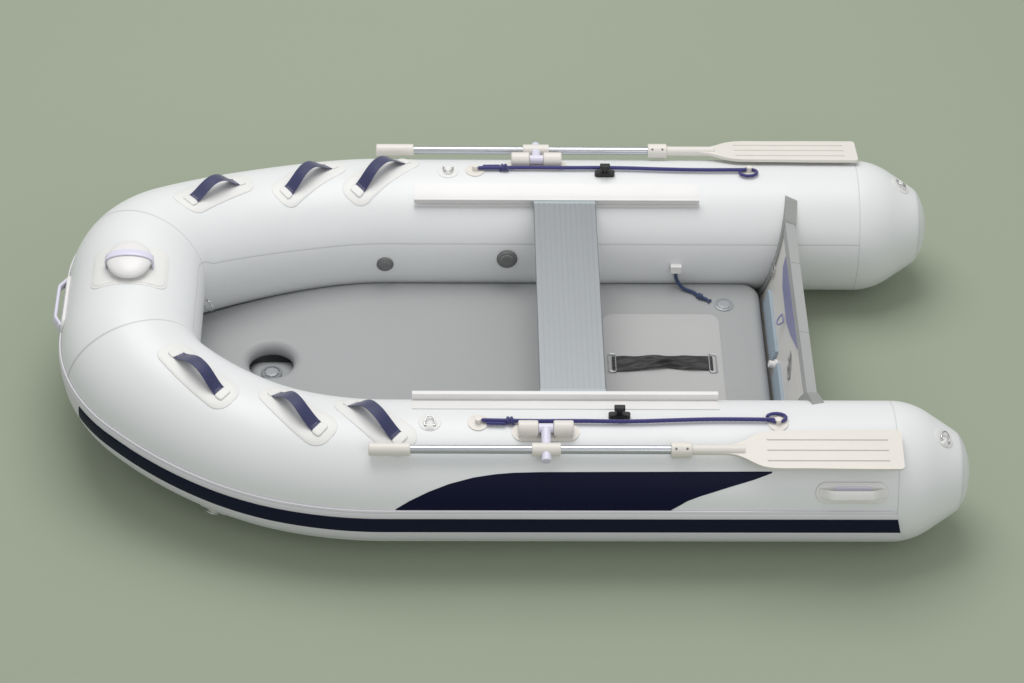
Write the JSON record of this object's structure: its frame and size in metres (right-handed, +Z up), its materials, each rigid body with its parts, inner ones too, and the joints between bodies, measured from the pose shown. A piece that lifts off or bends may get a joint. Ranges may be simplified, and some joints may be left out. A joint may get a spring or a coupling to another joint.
{
  "type": "inflatable dinghy",
  "caption": "Air-deck inflatable dinghy with a raked transom, a sliding bench and a pair of oars that fold up from the side tubes.",
  "frame": {"origin": "middle of the overall box, on the floor under the tubes", "axes": "+X towards the bow, +Y to port, +Z up"},
  "size_m": [2.7298, 1.5728, 0.567],
  "materials": {
    "tube_fabric": "white reinforced PVC, satin",
    "deck_fabric": "grey drop-stitch PVC",
    "transom_board": "coated plywood",
    "grey_trim": "grey PVC profile",
    "motor_pad": "lavender plastic",
    "foot_strip": "pale blue-grey PVC",
    "white_moulding": "moulded white plastic",
    "rub_rail": "white rubber profile",
    "navy_paint": "navy",
    "steel": "polished stainless steel",
    "patch_fabric": "white PVC patch",
    "grey_valve": "grey plastic",
    "navy_webbing": "woven webbing",
    "navy_rope": "braided rope",
    "cream_moulding": "moulded cream plastic",
    "pin_plastic": "pale lavender plastic",
    "aluminium": "anodised",
    "cap_plastic": "light grey plastic",
    "black_plastic": "black plastic",
    "black_webbing": "woven webbing"
  },
  "bodies": {
    "hull": {"air_deck": "deck_fabric", "bottom_sheet": "deck_fabric", "bow_handle": "white_moulding", "bow_tube": "tube_fabric", "d_rings": "steel", "deck_valves": "grey_valve", "drain_plug": "white_moulding", "fairlead_housing": "white_moulding", "fairlead_plate": "patch_fabric", "floor_patch": "patch_fabric", "floor_strap": "black_webbing", "foot_strips": "foot_strip", "keel": "deck_fabric", "port_cleat": "black_plastic", "port_grab_line": "navy_rope", "port_rope_eyes": "cream_moulding", "port_rowlock_base": "cream_moulding", "port_seat_rail": "white_moulding", "port_stern_cone": "tube_fabric", "port_stern_handle": "white_moulding", "port_strap_handles": "navy_webbing", "port_strap_patches": "patch_fabric", "port_swoosh": "navy_paint", "port_tube": "tube_fabric", "rail_stripes": "navy_paint", "ring_patches": "patch_fabric", "rub_rail": "rub_rail", "starboard_cleat": "black_plastic", "starboard_grab_line": "navy_rope", "starboard_rope_eyes": "cream_moulding", "starboard_rowlock_base": "cream_moulding", "starboard_seat_rail": "white_moulding", "starboard_stern_cone": "tube_fabric", "starboard_stern_handle": "white_moulding", "starboard_strap_handles": "navy_webbing", "starboard_strap_patches": "patch_fabric", "starboard_swoosh": "navy_paint", "starboard_tube": "tube_fabric", "tether": "navy_rope", "tether_clip": "white_moulding", "transom_board": "transom_board", "transom_edging": "grey_trim", "transom_holders": "grey_trim", "transom_pads": "motor_pad", "valves": "grey_valve"},
    "bench": {"bench_plank": "aluminium", "bench_caps": "cap_plastic"},
    "port_oar": {"port_oar_pin": "pin_plastic", "port_oar_sleeve": "cream_moulding", "port_oar_shaft": "aluminium", "port_oar_grip": "cream_moulding", "port_oar_collar": "cream_moulding", "port_oar_blade": "cream_moulding"},
    "starboard_oar": {"starboard_oar_pin": "pin_plastic", "starboard_oar_sleeve": "cream_moulding", "starboard_oar_shaft": "aluminium", "starboard_oar_grip": "cream_moulding", "starboard_oar_collar": "cream_moulding", "starboard_oar_blade": "cream_moulding"}
  },
  "joints": [
    {"name": "bench_slide", "type": "slide", "parent": "hull", "child": "bench", "axis": [1, 0, 0], "range_m": [-0.325, 0.37]},
    {"name": "port_oar_fold", "type": "hinge", "parent": "hull", "child": "port_oar", "pos_m": [-0.1099, 0.617, 0.431], "axis": [1, 0, 0], "range_deg": [0, 90]},
    {"name": "starboard_oar_fold", "type": "hinge", "parent": "hull", "child": "starboard_oar", "pos_m": [-0.1099, -0.617, 0.431], "axis": [-1, 0, 0], "range_deg": [0, 90]}
  ]
}
